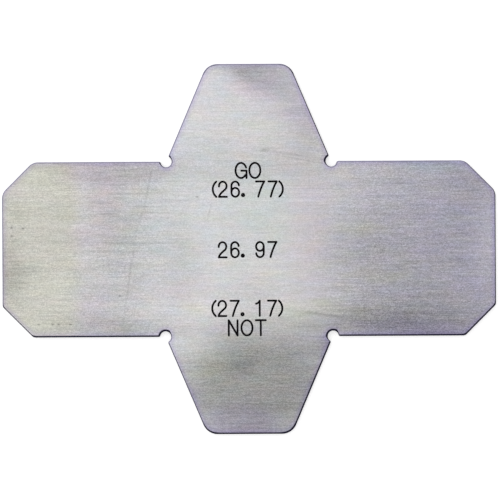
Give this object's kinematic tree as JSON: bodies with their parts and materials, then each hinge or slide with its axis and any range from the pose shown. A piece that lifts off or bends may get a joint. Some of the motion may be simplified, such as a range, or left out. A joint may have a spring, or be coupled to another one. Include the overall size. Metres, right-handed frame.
{
  "type": "shim limit gauge",
  "caption": "Flat cross-shaped limit gauge of brushed sheet steel: a tapered GO tongue and a slightly wider NOT tongue, each with relieved shoulders that stop it on the work.",
  "frame": {"origin": "middle of the plate's back face, which it lies on", "axes": "+X along the plate's length, +Y towards the GO tongue, +Z out of the marked face"},
  "size_m": [0.08, 0.06, 0.001],
  "materials": {
    "brushed_steel": "brushed along the length, with a fine deburred edge",
    "mark_fill": "black filling in the engraved marks"
  },
  "bodies": {
    "root": {"gauge_plate": "brushed_steel"}
  },
  "joints": []
}
